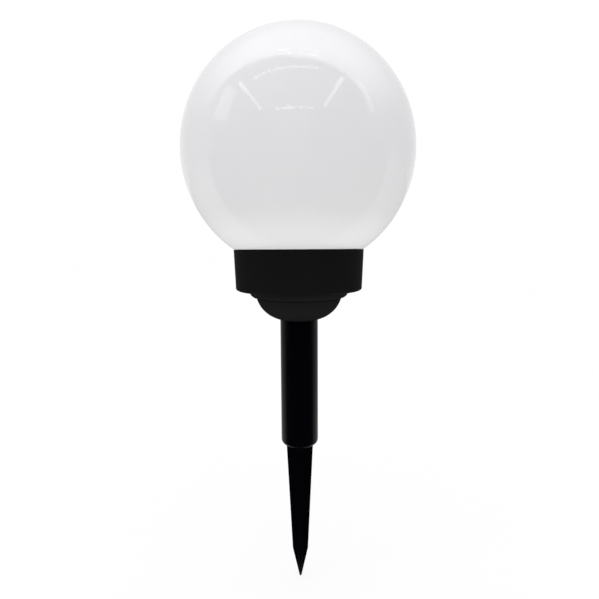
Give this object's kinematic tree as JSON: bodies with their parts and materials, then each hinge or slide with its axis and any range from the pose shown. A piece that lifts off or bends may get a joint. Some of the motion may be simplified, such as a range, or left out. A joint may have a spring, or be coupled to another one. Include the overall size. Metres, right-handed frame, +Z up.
{
  "type": "solar spike light",
  "caption": "Garden light with an opal ball globe on a black collar and stepped bowl, a round push-fit stake tube and a cross-finned ground spike; solar panel, lamps and battery inside.",
  "frame": {"origin": "on the stake's axis at the ground line, where the tube's lower rim stands on the soil", "axes": "+Z up along the stake, -Y towards the viewer, the switch is at +Y under the collar"},
  "size_m": [0.15, 0.15, 0.3732],
  "materials": {
    "opal": "glossy opal white, moulded",
    "black_housing": "fine satin black, moulded",
    "black_stake": "semi-gloss black, moulded",
    "seal_rubber": "matt grey-black rubber",
    "tray_plastic": "matt black, moulded",
    "screw_steel": "zinc plated",
    "panel_base": "dark laminate",
    "silicon": "dark blue silicon",
    "clear_resin": "clear cast resin",
    "lamp_lens": "clear epoxy over a yellow phosphor",
    "tinned_wire": "tinned",
    "board_green": "solder mask",
    "chip_black": "moulded epoxy",
    "inductor_green": "dipped lacquer",
    "holder_black": "moulded",
    "cell_steel": "nickel plated",
    "cell_sleeve": "shrink sleeve, plain green",
    "contact_nickel": "nickel plated spring steel",
    "switch_steel": "tinned can",
    "knob_black": "moulded",
    "wire_red": "extruded insulation",
    "wire_black": "extruded insulation",
    "wire_white": "extruded insulation"
  },
  "bodies": {
    "spike": {"ground_spike": "black_stake"},
    "tube": {"stake_tube": "black_stake"},
    "head": {"collar": "black_housing", "bowl": "black_housing", "housing_screws": "screw_steel", "panel_tray": "tray_plastic", "tray_screws": "screw_steel", "panel_board": "panel_base", "solar_cells": "silicon", "panel_resin": "clear_resin", "led_left": "lamp_lens", "led_right": "lamp_lens", "led_leads": "tinned_wire", "circuit_board": "board_green", "driver_chip": "chip_black", "inductor": "inductor_green", "board_screws": "screw_steel", "battery_holder": "holder_black", "battery_can": "cell_steel", "battery_sleeve": "cell_sleeve", "contact_positive": "contact_nickel", "contact_negative": "contact_nickel", "switch_body": "switch_steel", "wire_panel_negative": "wire_black", "wire_panel_positive": "wire_red", "wire_battery_negative": "wire_black", "wire_battery_positive": "wire_red", "wire_switch_left": "wire_white", "wire_switch_right": "wire_white"},
    "seal": {"globe_seal": "seal_rubber"},
    "globe": {"globe": "opal"},
    "switch": {"switch_knob": "knob_black"}
  },
  "joints": [
    {"name": "tube_pull", "type": "slide", "parent": "spike", "child": "tube", "axis": [0, 0, 1], "range_m": [0, 0.03]},
    {"name": "head_pull", "type": "slide", "parent": "tube", "child": "head", "axis": [0, 0, 1], "range_m": [0, 0.026]},
    {"name": "globe_turn", "type": "hinge", "parent": "head", "child": "seal", "pos_m": [0, 0, 0.1253], "axis": [0, 0, 1], "range_deg": [0, 18]},
    {"name": "globe_lift", "type": "slide", "parent": "seal", "child": "globe", "axis": [0, 0, 1], "range_m": [0, 0.07]},
    {"name": "switch_slide", "type": "slide", "parent": "head", "child": "switch", "axis": [1, 0, 0], "range_m": [0, 0.0025]}
  ]
}
